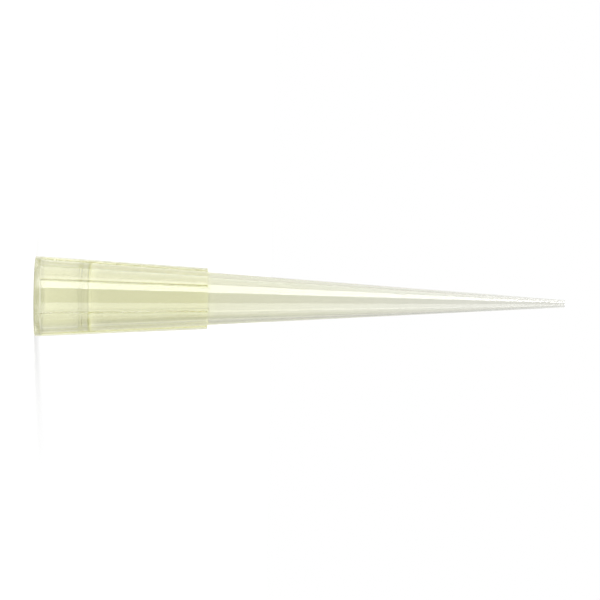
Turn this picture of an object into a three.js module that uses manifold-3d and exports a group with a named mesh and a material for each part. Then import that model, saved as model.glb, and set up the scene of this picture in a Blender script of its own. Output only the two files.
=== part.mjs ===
// Pipette tip for volumes up to about 200 microlitres, moulded in one piece.
// Millimetres. +Z runs along the tip's axis, from the mouth to the nozzle.
// The origin is the centre of the mouth, in the plane of its rim.

import * as THREE from 'three';
import * as BufferGeometryUtils from 'three/addons/utils/BufferGeometryUtils.js';
import Module from 'manifold-3d';

// ---- Lengths along the axis, measured from the mouth ----
const tipLength = 51.0;
const collarLength = 16.6;
const rimHeight = 0.42;
const mouthChamferDepth = 0.6;
const socketDepth = 4.22;
const capillaryStart = 38.0;

// ---- Lengths of the seal, one after the other below the socket ----
const ledgeStepLength = 0.12;
const ledgeLength = 0.12;
const sealStepLength = 0.12;
const sealLength = 0.52;
const sealBeadLength = 0.28;

// ---- Outside ----
const collarMouthDiameter = 7.32;
const collarStep = 0.14;
const coneDiameter = 5.094;
const nozzleDiameter = 0.69;
const ribCount = 6;
const ribHeightAtMouth = 0.2;
const ribHeightAtEnd = 0.24;
const ribWidthAtMouth = 0.54;
const ribWidthAtEnd = 0.4;
const rimEdgeChamfer = 0.06;

// ---- Wall between the outside and the bore ----
const socketWall = 0.56;
const mouthChamferWidth = 0.28;
const ledgeWall = 0.61;
const sealWall = 0.67;
const sealBeadWall = 0.78;
const collarWall = 0.67;
const coneWall = 0.507;
const capillaryWall = 0.16;
const nozzleWall = 0.14;

// ---- Roundness of the turned surfaces ----
const turnSegments = 96;

// How far a cutting shape runs past the face that it leaves by.
const cutOverrun = 1.0;

const wasm = await Module();
wasm.setup();

/** Value at z on the straight line from (z0, a) to (z1, b). */
function onLine(z, z0, a, z1, b) {
  return a + ((b - a) * (z - z0)) / (z1 - z0);
}

/** Outer radius of the plain cone below the collar. */
function coneRadius(z) {
  return onLine(z, collarLength, coneDiameter / 2, tipLength, nozzleDiameter / 2);
}

/** Outer radius of the collar between its ribs. It ends a small step proud of the cone. */
function collarRadius(z) {
  const endRadius = coneRadius(collarLength) + collarStep;
  return onLine(z, 0, collarMouthDiameter / 2, collarLength, endRadius);
}

/** Radius over the ribs and the rim. */
function ribTopRadius(z) {
  return collarRadius(z) + onLine(z, 0, ribHeightAtMouth, collarLength, ribHeightAtEnd);
}

/** Solid from a closed geometry. */
function toSolid(geometry) {
  const bare = geometry.clone();
  bare.deleteAttribute('normal');
  bare.deleteAttribute('uv');
  const merged = BufferGeometryUtils.mergeVertices(bare, 1e-5);
  return new wasm.Manifold(new wasm.Mesh({
    numProp: 3,
    vertProperties: merged.attributes.position.array,
    triVerts: new Uint32Array(merged.index.array),
  }));
}

/** Geometry from a solid. */
function toGeometry(solid) {
  const mesh = solid.getMesh();
  const geometry = new THREE.BufferGeometry();
  geometry.setAttribute('position', new THREE.BufferAttribute(mesh.vertProperties, 3));
  geometry.setIndex(new THREE.BufferAttribute(mesh.triVerts, 1));
  geometry.computeVertexNormals();
  return geometry;
}

/**
 * Solid of revolution about Z. The outline is a list of [radius, z] corners that starts and ends on
 * the axis, with z rising.
 */
function turned(outline) {
  const points = outline.map(([radius, z]) => new THREE.Vector2(radius, z));
  const geometry = new THREE.LatheGeometry(points, turnSegments);
  geometry.rotateX(Math.PI / 2);
  return toSolid(geometry);
}

/** The outside without its ribs and rim: the collar, its end step and the cone to the nozzle. */
function barrel() {
  return turned([
    [0, 0],
    [collarRadius(0), 0],
    [collarRadius(collarLength), collarLength],
    [coneRadius(collarLength), collarLength],
    [coneRadius(tipLength), tipLength],
    [0, tipLength],
  ]);
}

/** A cone over the rib tops, from the mouth up to the given height, with its mouth edge eased. */
function ribTopCone(height) {
  return turned([
    [0, 0],
    [ribTopRadius(0) - rimEdgeChamfer, 0],
    [ribTopRadius(rimEdgeChamfer), rimEdgeChamfer],
    [ribTopRadius(height), height],
    [0, height],
  ]);
}

/** One slab for each rib, from the axis outwards, that narrows from the mouth to the collar's end. */
function ribSlabs() {
  const bottom = -cutOverrun;
  const top = collarLength + cutOverrun;
  const halfWidth = (z) => onLine(z, 0, ribWidthAtMouth, collarLength, ribWidthAtEnd) / 2;
  const face = new THREE.Shape([
    new THREE.Vector2(-halfWidth(bottom), bottom),
    new THREE.Vector2(halfWidth(bottom), bottom),
    new THREE.Vector2(halfWidth(top), top),
    new THREE.Vector2(-halfWidth(top), top),
  ]);
  const reach = ribTopRadius(0) + cutOverrun;
  const slab = new THREE.ExtrudeGeometry(face, { depth: reach, bevelEnabled: false });
  const across = new THREE.Vector3(0, 1, 0);
  const along = new THREE.Vector3(0, 0, 1);
  const outwards = new THREE.Vector3(1, 0, 0);
  slab.applyMatrix4(new THREE.Matrix4().makeBasis(across, along, outwards));
  return Array.from({ length: ribCount }, (_, index) => {
    const turnedSlab = slab.clone().rotateZ((index * 2 * Math.PI) / ribCount);
    return toSolid(turnedSlab);
  });
}

/** The ribs: what the slabs leave of the cone over the rib tops. */
function ribs() {
  const sleeve = ribTopCone(collarLength);
  return ribSlabs()
    .map((slab) => sleeve.intersect(slab))
    .reduce((all, rib) => all.add(rib));
}

/**
 * The bore, from the chamfered mouth through the socket, a ledge, the narrower seal with its bead, and
 * the long reservoir to the nozzle. Each corner is the outside's radius less the wall there.
 */
function bore() {
  const ledgeStart = socketDepth + ledgeStepLength;
  const sealStart = ledgeStart + ledgeLength + sealStepLength;
  const beadStart = sealStart + sealLength;
  const inCollar = [
    [mouthChamferDepth, socketWall],
    [socketDepth, socketWall],
    [ledgeStart, ledgeWall],
    [ledgeStart + ledgeLength, ledgeWall],
    [sealStart, sealWall],
    [beadStart, sealWall],
    [beadStart + sealBeadLength / 2, sealBeadWall],
    [beadStart + sealBeadLength, collarWall],
  ].map(([z, wall]) => [collarRadius(z) - wall, z]);
  const inCone = [
    [collarLength, coneWall],
    [capillaryStart, capillaryWall],
    [tipLength, nozzleWall],
  ].map(([z, wall]) => [coneRadius(z) - wall, z]);
  const mouthRadius = inCollar[0][0] + mouthChamferWidth;
  const nozzleRadius = inCone[inCone.length - 1][0];
  return turned([
    [0, -cutOverrun],
    [mouthRadius, -cutOverrun],
    [mouthRadius, 0],
    ...inCollar,
    ...inCone,
    [nozzleRadius, tipLength + cutOverrun],
    [0, tipLength + cutOverrun],
  ]);
}

/** The whole tip: barrel, rim and ribs as one, opened by the bore. */
function pipetteTip() {
  return barrel().add(ribTopCone(rimHeight)).add(ribs()).subtract(bore());
}

const polypropylene = new THREE.MeshStandardMaterial({
  name: 'yellow_polypropylene',
  color: 0xe9ebc4,
  roughness: 0.18,
  metalness: 0.0,
  transparent: true,
  opacity: 0.6,
});

const tip = new THREE.Mesh(toGeometry(pipetteTip()), polypropylene);
tip.name = 'pipette_tip';

const group = new THREE.Group();
group.add(tip);

export default group;
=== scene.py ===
"""Gives a yellow pipette tip its finished look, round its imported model.

The tip is one moulding: a long hollow cone, with a plain rim, six ribs along its collar and a seal
bead inside. Its skin is worked out here as one closed surface of two parameters, with eased edges
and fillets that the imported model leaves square. Sizes are in millimetres unless a name says otherwise,
and Blender's own lengths are metres.
"""

from __future__ import annotations

import logging
import math
from dataclasses import dataclass
from enum import Enum
from typing import Any

import bpy
import numpy as np
from mathutils import Matrix, Vector

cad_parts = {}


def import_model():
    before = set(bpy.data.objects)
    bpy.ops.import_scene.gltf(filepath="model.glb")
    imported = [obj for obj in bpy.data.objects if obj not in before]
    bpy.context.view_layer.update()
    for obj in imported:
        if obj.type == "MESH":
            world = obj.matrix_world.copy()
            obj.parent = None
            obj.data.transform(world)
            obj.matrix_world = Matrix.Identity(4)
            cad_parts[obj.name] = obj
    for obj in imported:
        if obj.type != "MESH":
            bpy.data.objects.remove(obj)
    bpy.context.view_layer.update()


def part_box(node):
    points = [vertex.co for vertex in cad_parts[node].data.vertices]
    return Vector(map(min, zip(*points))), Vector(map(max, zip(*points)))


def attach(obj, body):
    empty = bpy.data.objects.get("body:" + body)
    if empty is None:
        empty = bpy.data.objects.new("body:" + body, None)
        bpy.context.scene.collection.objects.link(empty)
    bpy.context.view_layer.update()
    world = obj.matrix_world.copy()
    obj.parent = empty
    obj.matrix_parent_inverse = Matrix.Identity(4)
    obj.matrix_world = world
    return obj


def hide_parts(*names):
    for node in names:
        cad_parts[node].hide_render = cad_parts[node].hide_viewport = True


LOG = logging.getLogger("pipette_tip")

NODE = "pipette_tip"
BODY = "root"
SLOT = "yellow_polypropylene"
METRES_PER_MM = 0.001

# The Mix node's sockets when it mixes colours. Others of the same names stand before them.
MIX_FACTOR = 0
MIX_FIRST = 6
MIX_SECOND = 7
MIX_RESULT = 2

WHITE = (1.0, 1.0, 1.0, 1.0)

FloatArray = np.ndarray
Tint = tuple[float, float, float]


# ---------------------------------------------------------------- shader maths


class Node(Enum):
    """The node types that the finishes use."""

    PRINCIPLED = "ShaderNodeBsdfPrincipled"
    OUTPUT = "ShaderNodeOutputMaterial"
    WORLD_OUTPUT = "ShaderNodeOutputWorld"
    BACKGROUND = "ShaderNodeBackground"
    EMISSION = "ShaderNodeEmission"
    DIFFUSE = "ShaderNodeBsdfDiffuse"
    ADD_SHADER = "ShaderNodeAddShader"
    ABSORPTION = "ShaderNodeVolumeAbsorption"
    COORDINATES = "ShaderNodeTexCoord"
    SEPARATE = "ShaderNodeSeparateXYZ"
    NOISE = "ShaderNodeTexNoise"
    MIX = "ShaderNodeMix"
    MATHS = "ShaderNodeMath"
    LIGHT_PATH = "ShaderNodeLightPath"


@dataclass(frozen=True)
class Signal:
    """A number that a node gives out, so that shader maths reads as plain expressions."""

    tree: Tree
    socket: Any

    def _maths(self, operation: str, first: Any, second: Any) -> Signal:
        """The result of a Math node, whose operation is given by Blender's name for it."""
        node = self.tree.add(Node.MATHS, {"operation": operation}, {0: first, 1: second})
        return Signal(self.tree, node.outputs[0])

    def __add__(self, other: Any) -> Signal:
        """The sum of the two."""
        return self._maths("ADD", self, other)

    def __radd__(self, other: Any) -> Signal:
        """The sum of the two."""
        return self._maths("ADD", other, self)

    def __sub__(self, other: Any) -> Signal:
        """This less the other."""
        return self._maths("SUBTRACT", self, other)

    def __rsub__(self, other: Any) -> Signal:
        """The other less this."""
        return self._maths("SUBTRACT", other, self)

    def __mul__(self, other: Any) -> Signal:
        """The product of the two."""
        return self._maths("MULTIPLY", self, other)

    def __rmul__(self, other: Any) -> Signal:
        """The product of the two."""
        return self._maths("MULTIPLY", other, self)

    def __truediv__(self, other: Any) -> Signal:
        """This over the other."""
        return self._maths("DIVIDE", self, other)

    def root(self) -> Signal:
        """The square root."""
        return self._maths("SQRT", self, 0.0)

    def ramp(self, low: float, width: float) -> Signal:
        """0 up to the low value, then evenly up to 1 over the width, and 1 from there on."""
        return ((self - low) / width).at_least(0.0).at_most(1.0)

    def at_most(self, other: Any) -> Signal:
        """The smaller of the two."""
        return self._maths("MINIMUM", self, other)

    def at_least(self, other: Any) -> Signal:
        """The larger of the two."""
        return self._maths("MAXIMUM", self, other)


class Tree:
    """A node tree, whose nodes are all added by one method."""

    def __init__(self, owner: Any) -> None:
        """Empties the owner's node tree.

        Args:
            owner: the material or world that holds it.
        """
        owner.use_nodes = True
        self.nodes = owner.node_tree.nodes
        self.links = owner.node_tree.links
        self.nodes.clear()

    def add(self, kind: Node, settings: dict[str, Any] | None = None,
            inputs: dict[Any, Any] | None = None) -> Any:
        """Adds a node.

        Args:
            kind: its type.
            settings: attributes set first.
            inputs: values, signals or sockets for its inputs, by name or number.

        Returns:
            The node.
        """
        node = self.nodes.new(kind.value)
        for name, value in (settings or {}).items():
            setattr(node, name, value)
        for name, value in (inputs or {}).items():
            socket = node.inputs[name]
            if isinstance(value, Signal):
                self.links.new(value.socket, socket)
            elif isinstance(value, bpy.types.NodeSocket):
                self.links.new(value, socket)
            else:
                socket.default_value = value
        return node

    def point(self) -> tuple[Any, Signal, Signal]:
        """Reads where the point lies from the Object coordinates.

        Returns:
            Its place as a socket, and its height and its distance from the axis in millimetres.
        """
        place = self.add(Node.COORDINATES).outputs["Object"]
        x, y, z = (Signal(self, part) / METRES_PER_MM
                   for part in self.add(Node.SEPARATE, None, {"Vector": place}).outputs)
        return place, z, (x * x + y * y).root()

    def mixed(self, factor: Signal, first: Any, second: Any) -> Any:
        """Mixes two colours.

        Args:
            factor: how much of the second there is.
            first: a tint, or a colour's socket.
            second: a tint, or a colour's socket.

        Returns:
            The mixed colour's socket.
        """
        first, second = ((*part, 1.0) if isinstance(part, tuple) else part for part in (first, second))
        inputs = {MIX_FACTOR: factor, MIX_FIRST: first, MIX_SECOND: second}
        return self.add(Node.MIX, {"data_type": "RGBA"}, inputs).outputs[MIX_RESULT]


# ---------------------------------------------------------------- the tip's shape


@dataclass(frozen=True)
class TipSizes:
    """The tip's sizes. Walls are measured from the outside between the ribs, square to the axis."""

    # The outside.
    length: float
    rim_radius: float
    cone_radius: float = 2.547
    nozzle_radius: float = 0.345
    collar_length: float = 16.6
    collar_step: float = 0.14
    rim_height: float = 0.62
    rib_count: int = 6
    rib_width_mouth: float = 0.54
    rib_width_end: float = 0.40
    rib_height_mouth: float = 0.20
    rib_height_end: float = 0.24
    # The bore, from the mouth on.
    mouth_chamfer_depth: float = 0.60
    mouth_chamfer_width: float = 0.28
    socket_depth: float = 4.22
    ledge_step_length: float = 0.12
    ledge_length: float = 0.12
    seal_step_length: float = 0.12
    seal_length: float = 0.52
    bead_length: float = 0.28
    capillary_start: float = 38.0
    # The wall at each corner of the bore.
    socket_wall: float = 0.56
    ledge_wall: float = 0.61
    seal_wall: float = 0.67
    bead_wall: float = 0.78
    collar_wall: float = 0.67
    cone_wall: float = 0.507
    capillary_wall: float = 0.16
    nozzle_wall: float = 0.14
    # Eased edges, root fillets and the bore's bends: how far each reaches from its corner.
    edge_radius: float = 0.07
    root_radius: float = 0.09
    rim_root_radius: float = 0.05
    nozzle_edge_radius: float = 0.03
    mouth_chamfer_radius: float = 0.30
    ledge_radius: float = 0.04
    bead_root_radius: float = 0.08
    bead_crest_radius: float = 0.06
    collar_bend: float = 2.0
    capillary_bend: float = 4.0

    def cone(self, z: FloatArray) -> FloatArray:
        """The plain cone's radius at each height: a straight line from the collar's end to the nozzle."""
        share = (np.asarray(z) - self.collar_length) / (self.length - self.collar_length)
        return self.cone_radius + (self.nozzle_radius - self.cone_radius) * share

    def along_collar(self, z: FloatArray, mouth: float, end: float) -> FloatArray:
        """A size at each height: a straight line from the mouth to the collar's end, level past them."""
        share = np.clip(np.asarray(z) / self.collar_length, 0.0, 1.0)
        return mouth + (end - mouth) * share

    def groove(self, z: FloatArray) -> FloatArray:
        """The collar's radius between its ribs at each height, which ends a step proud of the cone."""
        mouth = self.rim_radius - self.rib_height_mouth
        return self.along_collar(z, mouth, self.cone_radius + self.collar_step)

    def rib_height(self, z: FloatArray) -> FloatArray:
        """How far the ribs stand off the collar at each height."""
        return self.along_collar(z, self.rib_height_mouth, self.rib_height_end)

    def half_rib_width(self, z: FloatArray) -> FloatArray:
        """Half of a rib's width at each height."""
        return self.along_collar(z, self.rib_width_mouth / 2.0, self.rib_width_end / 2.0)


def quarter(steps: int) -> FloatArray:
    """So many angles, evenly spaced from 0 to a quarter turn."""
    return np.linspace(0.0, math.pi / 2.0, steps)


def rounded(corners: FloatArray, reach: FloatArray, steps: int = 5, most: float = 0.45) -> FloatArray:
    """Replaces each inner corner of an outline by a curve that is tangent to both of its sides.

    The curve is (1 - t)^2 a + 2 t (1 - t) c + t^2 b, where c is the corner and a and b lie on its two
    sides, at the given distance from it.

    Args:
        corners: the outline's (radius, z) corners, in order.
        reach: the distance for each inner corner.
        steps: points on each curve.
        most: the most of the shorter side that a curve takes up.

    Returns:
        The outline's points, in order.
    """
    before, here, after = corners[:-2], corners[1:-1], corners[2:]
    back, ahead = before - here, after - here
    back_length = np.linalg.norm(back, axis=1, keepdims=True)
    ahead_length = np.linalg.norm(ahead, axis=1, keepdims=True)
    reach = np.minimum(reach[:, None], most * np.minimum(back_length, ahead_length))
    start = here + back / back_length * reach
    end = here + ahead / ahead_length * reach
    t = np.linspace(0.0, 1.0, steps)[None, :, None]
    curve = (1 - t) ** 2 * start[:, None] + 2 * t * (1 - t) * here[:, None] + t**2 * end[:, None]
    return np.vstack([corners[:1], curve.reshape(-1, 2), corners[-1:]])


def subdivided(points: FloatArray, longest: float) -> FloatArray:
    """Adds points along the long sides of an outline.

    Args:
        points: the outline's points, in order.
        longest: the longest side that is left.

    Returns:
        The points with the added ones between them, evenly spaced along each side.
    """
    sides = np.linalg.norm(np.diff(points, axis=0), axis=1)
    counts = np.maximum(1, np.ceil(sides / longest)).astype(int)
    start = np.repeat(np.arange(len(sides)), counts)
    first = np.repeat(np.cumsum(counts) - counts, counts)
    share = (np.arange(counts.sum()) - first) / np.repeat(counts, counts)
    inner = points[start] + share[:, None] * (points[start + 1] - points[start])
    return np.vstack([inner, points[-1:]])


@dataclass(frozen=True)
class TipSurface:
    """The tip's whole skin, as one closed surface of two parameters.

    One parameter runs round the axis. The other runs along the outside from the rim to the nozzle, then
    back down the bore to the rim. The whole numbers say how finely each stretch is divided, and
    curve_points how finely each quarter turn is.
    """

    sizes: TipSizes
    rib_top_columns: int = 4
    groove_columns: int = 22
    curve_points: int = 7
    collar_rings: int = 24
    cone_rings: int = 58
    longest_side: float = 0.8

    def _half_rib(self, half: FloatArray) -> tuple[FloatArray, FloatArray, FloatArray]:
        """Half of a rib's section, from its middle out to the end of its root fillet.

        The top is level up to the eased edge. The edge and the fillet are quarter circles.

        Args:
            half: the rib's half width at each height, as a column.

        Returns:
            Each point's distance from the rib's middle plane at each height, its share of the rib's
            height, and a fixed height added to that.
        """
        s = self.sizes
        turn = quarter(self.curve_points)
        top = (half - s.edge_radius) * np.linspace(0.0, 1.0, self.rib_top_columns + 1)[:-1]
        edge = half - s.edge_radius + s.edge_radius * np.sin(turn)
        root = half + s.root_radius * (1.0 - np.cos(turn))
        edge_drop = -s.edge_radius * (1.0 - np.cos(turn))
        root_height = s.root_radius * (1.0 - np.sin(turn))
        share = np.concatenate([np.ones(self.rib_top_columns + len(turn)), np.zeros(len(turn))])
        fixed = np.concatenate([np.zeros(self.rib_top_columns), edge_drop, root_height])
        return np.hstack([top, edge, root]), share, fixed

    def _columns(self, z: FloatArray) -> tuple[FloatArray, FloatArray]:
        """The section round the axis at each height: ribs with flat sides, and grooves between them.

        A rib's point at distance t from its middle plane and radius r stands at the angle asin(t / r).
        A groove's points divide the angle between two fillets evenly.

        Args:
            z: heights, as a column.

        Returns:
            The angle of each point, and its height above the grooves, for the full turn.
        """
        s = self.sizes
        collar_z = np.clip(z, s.rim_height, s.collar_length)
        across, share, fixed = self._half_rib(s.half_rib_width(collar_z))
        height = share * s.rib_height(collar_z) + fixed
        angle = np.arcsin(across / (s.groove(collar_z) + height))
        pitch = 2.0 * math.pi / s.rib_count
        inner = np.linspace(0.0, 1.0, self.groove_columns + 2)[1:-1]
        foot = angle[:, -1:]
        groove = foot + (pitch - 2.0 * foot) * inner
        sector_angle = np.hstack([angle, groove, pitch - angle[:, :0:-1]])
        sector_height = np.hstack([height, np.zeros_like(groove), height[:, :0:-1]])
        turns = np.arange(s.rib_count) * pitch
        angles = (turns[None, :, None] + sector_angle[:, None, :]).reshape(len(z), -1)
        heights = np.tile(sector_height, (1, s.rib_count))
        return angles, heights

    def _outside(self) -> tuple[FloatArray, FloatArray, FloatArray, FloatArray]:
        """The rings of the outside, from the rim's edge to the nozzle's edge.

        An eased edge or a fillet of radius r is a quarter circle: at the angle t it has gone r sin t one
        way and r (1 - cos t) the other.

        Returns:
            For each ring: its z, how much of the rim's drop to the grooves is taken, how much of the
            collar's drop to the cone is taken, and how far it is eased inwards.
        """
        s = self.sizes
        turn = quarter(self.curve_points)
        count = len(turn)
        edge, root = s.edge_radius, s.root_radius
        rim_root, nozzle = s.rim_root_radius, s.nozzle_edge_radius
        rim_rise = float(s.rib_height(s.rim_height))
        end_rise = s.rib_height_end + s.collar_step
        rim_z = [edge * (1 - np.cos(turn)), s.rim_height - edge + edge * np.sin(turn),
                 s.rim_height + rim_root * (1 - np.cos(turn))]
        rim_drop = [np.zeros(count), edge * (1 - np.cos(turn)), rim_rise - rim_root * (1 - np.sin(turn))]
        collar_z = np.linspace(s.rim_height + rim_root, s.collar_length - edge, self.collar_rings + 2)[1:-1]
        end_z = [s.collar_length - edge + edge * np.sin(turn), s.collar_length + root * (1 - np.cos(turn))]
        end_drop = [edge * (1 - np.cos(turn)), end_rise - root * (1 - np.sin(turn))]
        cone_z = np.linspace(s.collar_length + root, s.length - nozzle, self.cone_rings + 2)[1:-1]
        tip_z = s.length - nozzle + nozzle * np.sin(turn)
        z = np.concatenate([*rim_z, collar_z, *end_z, cone_z, tip_z])
        rim_count = len(rim_z) * count
        rim = np.concatenate([*rim_drop, np.full(len(z) - rim_count, rim_rise)]) / rim_rise
        after = len(cone_z) + len(tip_z)
        before = rim_count + len(collar_z)
        end = np.concatenate([np.zeros(before), *end_drop, np.full(after, end_rise)]) / end_rise
        ease = np.zeros(len(z))
        ease[:count] = edge * (1 - np.sin(turn))
        ease[-count:] = nozzle * (1 - np.cos(turn))
        return z, rim, end, ease

    def bore_outline(self) -> FloatArray:
        """The bore's outline from the nozzle's flat end back to the rim's flat face.

        Each corner lies at the outside's radius less the wall there. The first and last points lie out
        on the two flat faces, so that the edges of the bore can be eased too.

        Returns:
            The outline's (radius, z) points.
        """
        s = self.sizes
        ledge_start = s.socket_depth + s.ledge_step_length
        ledge_end = ledge_start + s.ledge_length
        seal_start = ledge_end + s.seal_step_length
        seal_end = seal_start + s.seal_length
        cone = np.array([
            [s.length, s.nozzle_wall],
            [s.capillary_start, s.capillary_wall],
            [s.collar_length, s.cone_wall],
        ])
        collar = np.array([
            [seal_end + s.bead_length, s.collar_wall],
            [seal_end + s.bead_length / 2.0, s.bead_wall],
            [seal_end, s.seal_wall],
            [seal_start, s.seal_wall],
            [ledge_end, s.ledge_wall],
            [ledge_start, s.ledge_wall],
            [s.socket_depth, s.socket_wall],
            [s.mouth_chamfer_depth, s.socket_wall],
        ])
        radius = np.concatenate([s.cone(cone[:, 0]) - cone[:, 1], s.groove(collar[:, 0]) - collar[:, 1]])
        z = np.concatenate([cone[:, 0], collar[:, 0]])
        nozzle_face = [radius[0] + 2.0 * s.nozzle_edge_radius, s.length]
        mouth = [radius[-1] + s.mouth_chamfer_width, 0.0]
        rim_face = [mouth[0] + 2.0 * s.edge_radius, 0.0]
        corners = np.vstack([nozzle_face, np.column_stack([radius, z]), mouth, rim_face])
        eased = [s.nozzle_edge_radius, s.capillary_bend, s.collar_bend,
                 s.bead_root_radius, s.bead_crest_radius, s.bead_root_radius,
                 *[s.ledge_radius] * 4, s.mouth_chamfer_radius, s.edge_radius]
        return subdivided(rounded(corners, np.array(eased)), self.longest_side)

    def grid(self) -> FloatArray:
        """The surface's points.

        Outside, the radius is the cone's, and what the collar with its ribs stands out by, times what is
        left of it past the collar's end, less the easing. Inside, it is the bore's.

        Returns:
            An array of rings by columns by (x, y, z), in millimetres.
        """
        s = self.sizes
        z, rim, end, ease = (part[:, None] for part in self._outside())
        angle, rise = self._columns(z)
        rise = rise + (1.0 - rim) * (s.rib_height(z) - rise)
        collar = s.groove(z) + rise - s.cone(z)
        radius = s.cone(z) + (1.0 - end) * collar - ease
        outline = self.bore_outline()
        bore_radius, bore_z = outline[:, :1], outline[:, 1:]
        bore_angle, _ = self._columns(bore_z)
        angles = np.vstack([angle, bore_angle])
        radii = np.vstack([radius, np.broadcast_to(bore_radius, bore_angle.shape)])
        heights = np.vstack([np.broadcast_to(z, angle.shape), np.broadcast_to(bore_z, bore_angle.shape)])
        return np.stack([radii * np.cos(angles), radii * np.sin(angles), heights], axis=-1)


def closed_grid_mesh(name: str, grid: FloatArray) -> bpy.types.Mesh:
    """Makes a mesh from a grid that closes on itself both ways.

    Point (i, j) is joined to (i + 1, j) and (i, j + 1), and the last of each to the first.

    Args:
        name: the mesh's name.
        grid: rings by columns by (x, y, z), in metres, with the outside facing out when the columns
            run anticlockwise seen from above and the rings run up the outside.

    Returns:
        The mesh, with smooth faces.
    """
    rings, columns = grid.shape[:2]
    index = np.arange(rings * columns).reshape(rings, columns)
    ahead, beside = np.roll(index, -1, axis=0), np.roll(index, -1, axis=1)
    across = np.roll(ahead, -1, axis=1)
    faces = np.stack([index, beside, across, ahead], axis=-1).reshape(-1, 4)
    mesh = bpy.data.meshes.new(name)
    mesh.vertices.add(rings * columns)
    mesh.vertices.foreach_set("co", grid.astype(np.float32).ravel())
    mesh.loops.add(faces.size)
    mesh.loops.foreach_set("vertex_index", faces.astype(np.int32).ravel())
    mesh.polygons.add(len(faces))
    mesh.polygons.foreach_set("loop_start", np.arange(0, faces.size, faces.shape[1], dtype=np.int32))
    mesh.polygons.foreach_set("use_smooth", np.ones(len(faces), dtype=bool))
    mesh.update(calc_edges=True)
    mesh.validate()
    return mesh


# ---------------------------------------------------------------- the tip's finish


@dataclass(frozen=True)
class Skin:
    """Where a point of the tip's skin lies, as signals, for masks that follow the tip's sizes.

    Each mask rises over the soft length or twice that, in millimetres.
    """

    sizes: TipSizes
    place: Any
    z: Signal
    radius: Signal
    soft: float = 0.02

    @classmethod
    def of(cls, tree: Tree, sizes: TipSizes) -> Skin:
        """The skin's point that a material's nodes are asked about."""
        place, z, radius = tree.point()
        return cls(sizes, place, z, radius)

    def above(self, height: float) -> Signal:
        """1 above a height, and 0 below it."""
        return self.z.ramp(height, self.soft)

    def groove(self) -> Signal:
        """The collar's radius between its ribs, at the point's height."""
        mouth, end = (float(self.sizes.groove(z)) for z in (0.0, self.sizes.collar_length))
        return mouth + (end - mouth) / self.sizes.collar_length * self.z

    def bore(self, depth: float = 0.06) -> Signal:
        """Finds the bore's walls, by their depth under the outside.

        Args:
            depth: how far under the outside they begin.

        Returns:
            1 in the bore.
        """
        sizes = self.sizes
        slope = (sizes.nozzle_radius - sizes.cone_radius) / (sizes.length - sizes.collar_length)
        cone = sizes.cone_radius + slope * (self.z - sizes.collar_length)
        collar = self.groove()
        outside = collar + (cone - collar) * self.above(sizes.collar_length)
        return (outside - self.radius).ramp(depth, 2.0 * self.soft)

    def ribs(self) -> tuple[Signal, Signal]:
        """Finds the ribs' flanks and the tops of the ribs and the rim, by their height off the collar.

        Returns:
            Two masks, 1 on the flanks, which the tint paints with shade, and 1 on the tops.
        """
        sizes = self.sizes
        height = self.radius - self.groove()
        rise = (sizes.rib_height_end - sizes.rib_height_mouth) / sizes.collar_length
        under_top = sizes.rib_height_mouth + rise * self.z - height
        raised = height.ramp(self.soft, 2.0 * self.soft) * (1.0 - self.above(sizes.collar_length))
        top = (1.0 - under_top.ramp(0.5 * self.soft, 2.0 * self.soft)) * raised
        return raised * (1.0 - top), top


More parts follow.
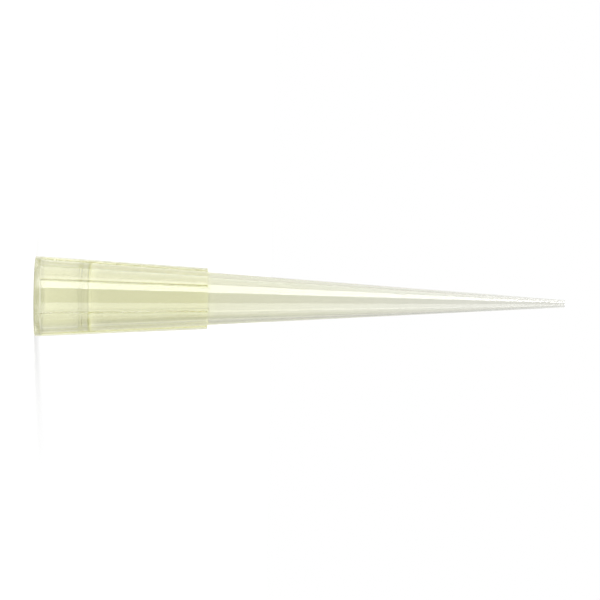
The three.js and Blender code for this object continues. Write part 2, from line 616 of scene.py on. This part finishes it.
@dataclass(frozen=True)
class Polypropylene:
    """Natural polypropylene with a little yellow dye, moulded against polished steel.

    Light crosses it as it does glass. Most of its colour is in its skin, as deep as the wall behind is
    thick, and a little more is lost in each millimetre of wall. The ribs' flanks carry a darker tint,
    which is painted shade for the dark line along each rib's side. The bore and the tops of the ribs are
    less polished than the rest.
    """

    mouth_tint: Tint = (0.773, 0.773, 0.636)
    collar_end_tint: Tint = (0.81, 0.81, 0.663)
    cone_tint: Tint = (0.80, 0.80, 0.698)
    nozzle_tint: Tint = (0.852, 0.852, 0.83)
    # painted shade: the flanks' darker tint stands for the dark line that light leaves along each rib's
    # side
    flank_shade_tint: Tint = (0.665, 0.665, 0.55)
    rim_tint: Tint = (0.77, 0.77, 0.64)
    refraction: float = 1.49
    roughness_low: float = 0.063
    roughness_high: float = 0.123
    cloud_scale: float = 260.0
    cloud_detail: float = 2.0
    top_roughness: float = 0.29
    mouth_bore_roughness: float = 0.19
    nozzle_bore_roughness: float = 0.09
    dye: Tint = (0.935, 0.935, 0.70)
    dye_density: float = 340.0

    def material(self, sizes: TipSizes) -> bpy.types.Material:
        """Builds the material.

        Args:
            sizes: the tip's sizes, which say where its ribs and rim are.

        Returns:
            The material, which reads Object coordinates only.
        """
        material = bpy.data.materials.new(SLOT)
        tree = Tree(material)
        skin = Skin.of(tree, sizes)
        # the flank mask carries painted shade into the colour
        flank_shade, top = skin.ribs()
        shader = tree.add(Node.PRINCIPLED, None, {
            "Base Color": self._tint(tree, skin, flank_shade),
            "Roughness": self._roughness(tree, skin, top),
            "IOR": self.refraction,
            "Transmission Weight": 1.0,
        })
        absorb = tree.add(Node.ABSORPTION, None, {"Color": (*self.dye, 1.0), "Density": self.dye_density})
        tree.add(Node.OUTPUT, None, {"Surface": shader.outputs[0], "Volume": absorb.outputs[0]})
        return material

    def _roughness(self, tree: Tree, skin: Skin, top: Signal) -> Signal:
        """Makes the polish: faintly cloudy outside, duller on the rib tops and in the bore.

        Args:
            tree: the material's nodes.
            skin: the point's place.
            top: 1 on the tops of the ribs and the rim.

        Returns:
            The roughness.
        """
        noise = tree.add(Node.NOISE, None, {
            "Vector": skin.place,
            "Scale": self.cloud_scale,
            "Detail": self.cloud_detail,
        })
        cloud = Signal(tree, noise.outputs["Fac"])
        outside = self.roughness_low + (self.roughness_high - self.roughness_low) * cloud
        outside = outside + (self.top_roughness - self.roughness_high) * top
        fall = (self.nozzle_bore_roughness - self.mouth_bore_roughness) / skin.sizes.length
        inside = self.mouth_bore_roughness + fall * skin.z
        return outside + (inside - outside) * skin.bore()

    def _tint(self, tree: Tree, skin: Skin, flank_shade: Signal) -> Any:
        """Colours the skin as deeply as the wall behind it is thick, and darker on the ribs' flanks as
        painted shade.

        Args:
            tree: the material's nodes.
            skin: the point's place.
            flank_shade: 1 on the ribs' flanks.

        Returns:
            The colour's socket.
        """
        sizes = skin.sizes
        cone_length = sizes.length - sizes.collar_length
        collar = tree.mixed(skin.z.ramp(0.0, sizes.collar_length), self.mouth_tint, self.collar_end_tint)
        cone = tree.mixed(skin.z.ramp(sizes.collar_length, cone_length), self.cone_tint, self.nozzle_tint)
        along = tree.mixed(skin.above(sizes.collar_length), collar, cone)
        # painted shade: the ribs' flanks take the darker flank tint
        ribbed = tree.mixed(flank_shade, along, self.flank_shade_tint)
        return tree.mixed(skin.above(sizes.rim_height), self.rim_tint, ribbed)


class PipetteTip:
    """The tip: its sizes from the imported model, its skin and its finish."""

    def __init__(self) -> None:
        """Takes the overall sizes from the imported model."""
        low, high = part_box(NODE)
        self.sizes = TipSizes(
            length=(high.z - low.z) / METRES_PER_MM,
            rim_radius=(high.x - low.x) / 2.0 / METRES_PER_MM,
        )
        self.finish = Polypropylene()

    def build(self) -> bpy.types.Object:
        """Builds the tip in its place.

        Returns:
            The tip's object, at the origin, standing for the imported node.
        """
        surface = TipSurface(self.sizes)
        mesh = closed_grid_mesh("pipette_tip_skin", surface.grid() * METRES_PER_MM)
        mesh.materials.append(self.finish.material(self.sizes))
        tip = bpy.data.objects.new("pipette_tip_skin", mesh)
        bpy.context.scene.collection.objects.link(tip)
        normals = tip.modifiers.new("face_weighted_normals", "WEIGHTED_NORMAL")
        normals.mode = "FACE_AREA"
        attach(tip, BODY)
        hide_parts(NODE)
        return tip


# ---------------------------------------------------------------- the studio


def level_direction(bearing: float) -> Vector:
    """A level direction of length 1, turned by so many degrees from -Y, the camera's side, to +X."""
    turn = math.radians(bearing)
    return Vector((math.sin(turn), -math.cos(turn), 0.0))


@dataclass(frozen=True)
class Softbox:
    """A tall soft lamp that stands on the floor beside the tip and faces its axis.

    It stands close by, so that the walls that slope down towards it still see it over the floor. Its
    shine on the tip is seen, but it isn't seen straight or through the clear wall, where it would be
    as white as the surroundings and the tip would be lost in it.
    """

    name: str
    bearing: float
    spread: float
    brightness: float
    distance: float = 90.0
    height: float = 120.0

    def place(self) -> bpy.types.Object:
        """Makes the lamp.

        A lamp of power P and area A is as bright as P / (pi A), where 1 is white.

        Returns:
            The lamp's object.
        """
        width = 2.0 * self.distance * math.tan(math.radians(self.spread) / 2.0)
        lamp = bpy.data.lights.new(self.name, "AREA")
        lamp.shape = "RECTANGLE"
        lamp.size = width * METRES_PER_MM
        lamp.size_y = self.height * METRES_PER_MM
        lamp.energy = self.brightness * math.pi * lamp.size * lamp.size_y
        outwards = level_direction(self.bearing)
        item = bpy.data.objects.new(self.name, lamp)
        item.location = (outwards * self.distance + Vector((0.0, 0.0, self.height / 2.0))) * METRES_PER_MM
        item.rotation_mode = "QUATERNION"
        item.rotation_quaternion = (-outwards).to_track_quat("-Z", "Y")
        item.visible_camera = False
        item.visible_transmission = False
        bpy.context.scene.collection.objects.link(item)
        return item


@dataclass(frozen=True)
class Flag:
    """A tall sheet beside the tip that glows dimmer than the white surroundings: painted shade, which only
    its clear wall shows, for surroundings that lie in shade.
    """

    name: str
    bearing: float
    spread: float
    # grey is how brightly the sheet glows, not a colour: its glow is the painted shade
    grey: float
    distance: float = 90.0
    height: float = 120.0

    def place(self) -> bpy.types.Object:
        """Makes the sheet of painted shade.

        Returns:
            The sheet's object, which only mirrored and refracted rays see.
        """
        reach = self.distance * METRES_PER_MM
        half = reach * math.tan(math.radians(self.spread) / 2.0)
        foot = level_direction(self.bearing) * reach
        aside = level_direction(self.bearing + 90.0) * half
        up = Vector((0.0, 0.0, self.height * METRES_PER_MM))
        mesh = bpy.data.meshes.new(self.name)
        corners = [foot + aside, foot - aside, foot - aside + up, foot + aside + up]
        mesh.from_pydata(corners, [], [(0, 1, 2, 3)])
        material = bpy.data.materials.new(self.name)
        tree = Tree(material)
        glow = tree.add(Node.EMISSION, None, {"Color": WHITE, "Strength": self.grey})
        tree.add(Node.OUTPUT, None, {"Surface": glow.outputs[0]})
        mesh.materials.append(material)
        shade_sheet = bpy.data.objects.new(self.name, mesh)
        shade_sheet.visible_camera = False
        shade_sheet.visible_diffuse = False
        shade_sheet.visible_shadow = False
        bpy.context.scene.collection.objects.link(shade_sheet)
        return shade_sheet


class Studio:
    """The floor, the surroundings, the lamps and the camera."""

    lamps = (
        Softbox("key_softbox", bearing=-45.6, spread=38.8, brightness=9.0),
        Softbox("side_softbox", bearing=-86.0, spread=34.5, brightness=3.35),
        Softbox("front_softbox", bearing=40.0, spread=42.0, brightness=3.37),
        Softbox("fill_softbox", bearing=65.5, spread=23.5, brightness=2.35),
        Softbox("rear_softbox", bearing=98.5, spread=38.0, brightness=0.72),
    )
    flags = (
        # painted shade: a dim glowing sheet, seen only in the tip's reflections and refractions
        Flag("painted_shade_flag", bearing=145.0, spread=33.0, grey=0.70),
    )

    def __init__(self, sizes: TipSizes) -> None:
        """Keeps the point that the camera looks at, half way up the tip."""
        self.centre = Vector((0.0, 0.0, sizes.length / 2.0 * METRES_PER_MM))

    def light(self) -> None:
        """Places the lamps and the sheet of painted shade."""
        for item in (*self.lamps, *self.flags):
            item.place()

    def light_paths(self, bounces: int = 32) -> None:
        """Lets light go on through the clear walls and ribs until it leaves them.

        Args:
            bounces: how many walls it may meet on its way.
        """
        cycles = bpy.context.scene.cycles
        cycles.max_bounces = bounces
        cycles.transmission_bounces = bounces
        cycles.glossy_bounces = bounces

    def surround(self, strength: float = 0.6) -> None:
        """Makes the surroundings: white where they are looked at, dimmer as a light.

        Args:
            strength: how bright they are as a light.
        """
        world = bpy.data.worlds.new("white_room")
        bpy.context.scene.world = world
        tree = Tree(world)
        power = strength + (1.0 - strength) * self._seen(tree)
        sky = tree.add(Node.BACKGROUND, None, {"Color": WHITE, "Strength": power})
        tree.add(Node.WORLD_OUTPUT, None, {"Surface": sky.outputs[0]})

    def floor(self, reach: float = 4000.0) -> bpy.types.Object:
        """Lays the pale floor that the tip stands on.

        Args:
            reach: how far it goes out from the tip.

        Returns:
            The floor's object.
        """
        corner = reach * METRES_PER_MM
        mesh = bpy.data.meshes.new("floor")
        corners = [(-corner, -corner, 0.0), (corner, -corner, 0.0), (corner, corner, 0.0),
                   (-corner, corner, 0.0)]
        mesh.from_pydata(corners, [], [(0, 1, 2, 3)])
        mesh.materials.append(self._floor_material())
        floor = bpy.data.objects.new("floor", mesh)
        bpy.context.scene.collection.objects.link(floor)
        return floor

    def _seen(self, tree: Tree) -> Signal:
        """Finds the rays that look at a thing, straight, in a mirror or through the clear wall.

        Args:
            tree: the nodes of a material or the world.

        Returns:
            1 for those rays, and 0 for those that only carry light.
        """
        rays = tree.add(Node.LIGHT_PATH)
        seen = Signal(tree, rays.outputs["Is Camera Ray"])
        seen = seen.at_least(Signal(tree, rays.outputs["Is Glossy Ray"]))
        return seen.at_least(Signal(tree, rays.outputs["Is Transmission Ray"]))

    def _floor_material(self, grey: float = 0.3, near_glow: float = 0.55, far_glow: float = 0.92,
                        reach: float = 200.0, mirrored_glow: float = 0.9) -> bpy.types.Material:
        """Makes the floor white where it is looked at, apart from the shadow that falls on it.

        Looked at straight, it glows less where the lamps light it more, because a floor that is brighter
        than white would hide the shadow.

        Args:
            grey: how much of the light it sends back.
            near_glow: its glow at the tip, looked at straight.
            far_glow: its glow from the reach outwards, looked at straight.
            reach: how far from the tip the lamps light it, in millimetres.
            mirrored_glow: its glow in a mirror and through the clear wall.

        Returns:
            The floor's material.
        """
        material = bpy.data.materials.new("pale_floor")
        tree = Tree(material)
        _, _, radius = tree.point()
        direct = near_glow + (far_glow - near_glow) * radius.ramp(0.0, reach)
        straight = Signal(tree, tree.add(Node.LIGHT_PATH).outputs["Is Camera Ray"])
        glow = mirrored_glow + (direct - mirrored_glow) * straight
        shine = tree.add(Node.EMISSION, None, {"Color": glow, "Strength": self._seen(tree)})
        matte = tree.add(Node.DIFFUSE, None, {"Color": (grey, grey, grey, 1.0)})
        both = tree.add(Node.ADD_SHADER, None, {0: shine.outputs[0], 1: matte.outputs[0]})
        tree.add(Node.OUTPUT, None, {"Surface": both.outputs[0]})
        return material

    def camera(self, lens: float = 320.0, view_width: float = 57.82,
               roll: float = 0.83) -> bpy.types.Object:
        """Sets up the camera, side on to the tip and turned so that the nozzle is on the right.

        Args:
            lens: its focal length, in millimetres.
            view_width: how much it sees across at the tip, in millimetres.
            roll: how far the nozzle dips below level, in degrees.

        Returns:
            The camera's object.
        """
        data = bpy.data.cameras.new("camera")
        data.lens = lens
        data.sensor_width = 36.0
        angle = math.radians(roll)
        right = Vector((-math.sin(angle), 0.0, math.cos(angle)))
        up = Vector((-math.cos(angle), 0.0, -math.sin(angle)))
        back = right.cross(up)
        distance = lens * view_width / data.sensor_width * METRES_PER_MM
        camera = bpy.data.objects.new("camera", data)
        axes = Matrix((right, up, back)).transposed().to_4x4()
        camera.matrix_world = Matrix.Translation(self.centre + back * distance) @ axes
        data.clip_start = 0.01
        bpy.context.scene.collection.objects.link(camera)
        bpy.context.scene.camera = camera
        return camera


def main() -> None:
    """Builds the tip and the studio round it."""
    logging.basicConfig(level=logging.INFO, format="%(name)s: %(message)s")
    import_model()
    tip = PipetteTip()
    piece = tip.build()
    LOG.info("%s: %d faces", piece.name, len(piece.data.polygons))
    studio = Studio(tip.sizes)
    studio.surround()
    studio.floor()
    studio.light()
    studio.light_paths()
    studio.camera()
    bpy.context.scene.view_settings.view_transform = "Standard"
    LOG.info("studio: %d lamps", len(studio.lamps))


if __name__ == "__main__":
    main()
